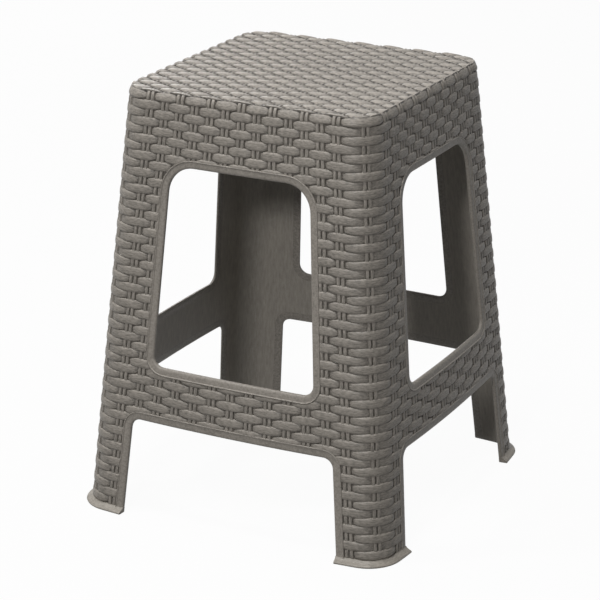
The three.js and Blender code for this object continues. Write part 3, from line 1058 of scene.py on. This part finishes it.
def seat():
    parts = [seat_bed()]
    flat = {**linear("Origin", 0.0, 0.0), **linear("Pitch", SEAT_PITCH, SEAT_PITCH)}
    edge = Outline(ROLL_HEIGHT)
    # The one row on the roll has its middle at the roll row's share of the way up.
    roll_row = {"First row": 0, "Rows": 1, "Row pitch": 0.0, "Top": ROLL_ROW_SHARE * ROLL_LENGTH}
    stake_row = {**roll_row, "Top": ROLL_LENGTH / 2}
    span = {"First column": -SIDE_STAKES, "Columns": 2 * SIDE_STAKES + 1}
    lone = {"First column": 0, "Columns": 1, **linear("Origin", edge.reach, edge.reach)}
    reach = SEAT_PITCH - STRAND_SETBACK
    corner_reach = CORNER_AT_SEAT - STRAND_SETBACK
    edge_shapes = [
        cells(
            ROLL_STRAND, "strand", Parity=1, **span, **flat, **roll_row,
            **linear("Length", reach, reach),
        ),
        cells(
            ROLL_STAKE, "stake", Parity=0, **span, **flat, **stake_row,
            **linear("Length", 1.0, 1.0),
        ),
        cells(
            ROLL_CORNER_STRAND, "strand", Parity=0, **lone, **roll_row,
            **linear("Pitch", 0.0, 0.0), **linear("Length", corner_reach, corner_reach),
        ),
    ]
    for shape in edge_shapes:
        part = wrapped(shape, on_roll)
        for quarters in range(4):
            parts.append(part._replace(points=turned(part.points, quarters)))

    half = SEAT_SPAN / 2 - SEAT_WEAVE_INSET
    rows_to_edge = math.ceil(half / SEAT_STRAND_PITCH)
    rows = {
        "First row": -rows_to_edge, "Rows": 2 * rows_to_edge + 1,
        "Row pitch": SEAT_STRAND_PITCH, "Top": SEAT_STRAND_PITCH / 2,
    }
    columns_to_edge = math.ceil(half / SEAT_PITCH)
    columns = {"First column": -columns_to_edge, "Columns": 2 * columns_to_edge + 1}
    seat_reach = SEAT_PITCH - SEAT_GAP / 2
    alongs = edge_alongs(edge, BORDER_SIDE_POINTS, BORDER_CORNER_POINTS)
    up = ROLL_LENGTH * math.acos(1 - SEAT_WEAVE_INSET / ROLL_INSET) / QUARTER
    rim = on_roll(np.column_stack([alongs, np.full(len(alongs), up), np.zeros(len(alongs))]))
    border = np.concatenate([turned(rim, quarters) for quarters in range(4)])[:, :2]
    for form, finish, parity, shift, length in (
        (SEAT_STRAND, "seat_strand", 1, 0.0, seat_reach),
        (SEAT_STAKE, "stake", 0, SEAT_STAKE_SHIFT, 1.0),
    ):
        place = {**flat, **linear("Origin", shift, shift), **linear("Length", length, length)}
        shape = cells(form, finish, Parity=parity, **columns, **rows, **place)
        parts += [wrapped(piece, on_seat) for piece in fitted(shape, [border], "INTERSECT")]
    finished("seat_weave", parts, "seat_panel")


aprons()
stretchers()
posts()
trims()
feet()
seat()
for form in FORMS:
    bpy.data.objects.remove(form)

ribs = frame["nodes"]["seat_ribs"]
ribs.data.materials.clear()
ribs.data.materials.append(MATERIALS["rib"])

# The floor, the light and the camera. Seen directly, the floor is mostly a white glow, and its matt
# share takes a faint shadow. To all other rays it is matt and dark, and sends back little light.
FLOOR_SIZE = 12.0
FLOOR_GLOW = 1.2
FLOOR_GLOW_SHARE = 0.8
FLOOR_MATT = 0.12
BACKDROP_WHITE = 1.0
AMBIENT = 0.065


def seen_directly(tree):
    """1 for rays that show the backdrop itself, in the camera, in gloss or through glass."""
    camera_ray, glossy_ray, glass_ray = [
        add_node(tree, "ShaderNodeLightPath", None, None, name)
        for name in ("Is Camera Ray", "Is Glossy Ray", "Is Transmission Ray")
    ]
    return camera_ray.math("MAXIMUM", glossy_ray).math("MAXIMUM", glass_ray)


def floor():
    half = FLOOR_SIZE / 2
    corners = np.array([(-half, -half, 0), (half, -half, 0), (half, half, 0), (-half, half, 0)])
    ground = new_object("floor", mesh_from("floor", corners, [(0, 1, 2, 3)]))
    material = bpy.data.materials.new("floor_white")
    material.use_nodes = True
    tree = material.node_tree
    tree.nodes.clear()
    matt = add_node(tree, "ShaderNodeBsdfDiffuse", None, {"Color": (*[FLOOR_MATT] * 3, 1)})
    glow = add_node(tree, "ShaderNodeEmission", None, {"Strength": FLOOR_GLOW})
    share = seen_directly(tree) * FLOOR_GLOW_SHARE
    mixed = add_node(tree, "ShaderNodeMixShader", None, {0: share, 1: matt, 2: glow})
    add_node(tree, "ShaderNodeOutputMaterial", None, {"Surface": mixed})
    ground.data.materials.append(material)


def world():
    made = bpy.data.worlds.new("studio")
    bpy.context.scene.world = made
    made.use_nodes = True
    tree = made.node_tree
    tree.nodes.clear()
    strength = seen_directly(tree) * (BACKDROP_WHITE - AMBIENT) + AMBIENT
    sky = add_node(tree, "ShaderNodeBackground", None, {"Color": (1, 1, 1, 1), "Strength": strength})
    add_node(tree, "ShaderNodeOutputWorld", None, {"Surface": sky})


# Each lamp's name, place, width and power.
LAMPS = [
    ("key", (-1.7, -1.2, 2.9), 0.4, 38),
    ("side", (-1.6, 0.3, 2.3), 0.3, 6),
    ("overhead", (0.05, -0.5, 2.8), 0.4, 34),
    ("front", (0.45, -2.6, 1.5), 0.3, 28),
    ("back", (-1.6, 2.1, 0.9), 0.5, 8),
]


def lamp(name, place, size, power):
    light = bpy.data.lights.new(name, "AREA")
    light.shape = "DISK"
    light.size = size
    light.energy = power
    made = bpy.data.objects.new(name, light)
    bpy.context.scene.collection.objects.link(made)
    made.location = place
    aim = Vector((0, 0, SEAT_HEIGHT / 2)) - Vector(place)
    made.rotation_mode = "QUATERNION"
    made.rotation_quaternion = aim.to_track_quat("-Z", "Y")


CAMERA_AZIMUTH = math.radians(27.329)
CAMERA_ELEVATION = math.radians(19.942)
CAMERA_DISTANCE = 2.4876
CAMERA_LENS = 141
SENSOR_WIDTH = 36
CAMERA_AIM_ACROSS = -6.54 * MM
CAMERA_AIM_HEIGHT = 200.63 * MM


def camera():
    data = bpy.data.cameras.new("camera")
    data.sensor_width = SENSOR_WIDTH
    data.lens = CAMERA_LENS
    made = bpy.data.objects.new("camera", data)
    bpy.context.scene.collection.objects.link(made)
    bpy.context.scene.camera = made
    sin_a, cos_a = math.sin(CAMERA_AZIMUTH), math.cos(CAMERA_AZIMUTH)
    sin_e, cos_e = math.sin(CAMERA_ELEVATION), math.cos(CAMERA_ELEVATION)
    aim = Vector((CAMERA_AIM_ACROSS * cos_a, CAMERA_AIM_ACROSS * sin_a, CAMERA_AIM_HEIGHT))
    back = Vector((sin_a * cos_e, -cos_a * cos_e, sin_e))
    made.location = aim + back * CAMERA_DISTANCE
    made.rotation_mode = "QUATERNION"
    made.rotation_quaternion = (-back).to_track_quat("-Z", "Y")


floor()
world()
for name, place, size, power in LAMPS:
    lamp(name, place, size, power)
camera()
bpy.context.scene.view_settings.view_transform = "Standard"
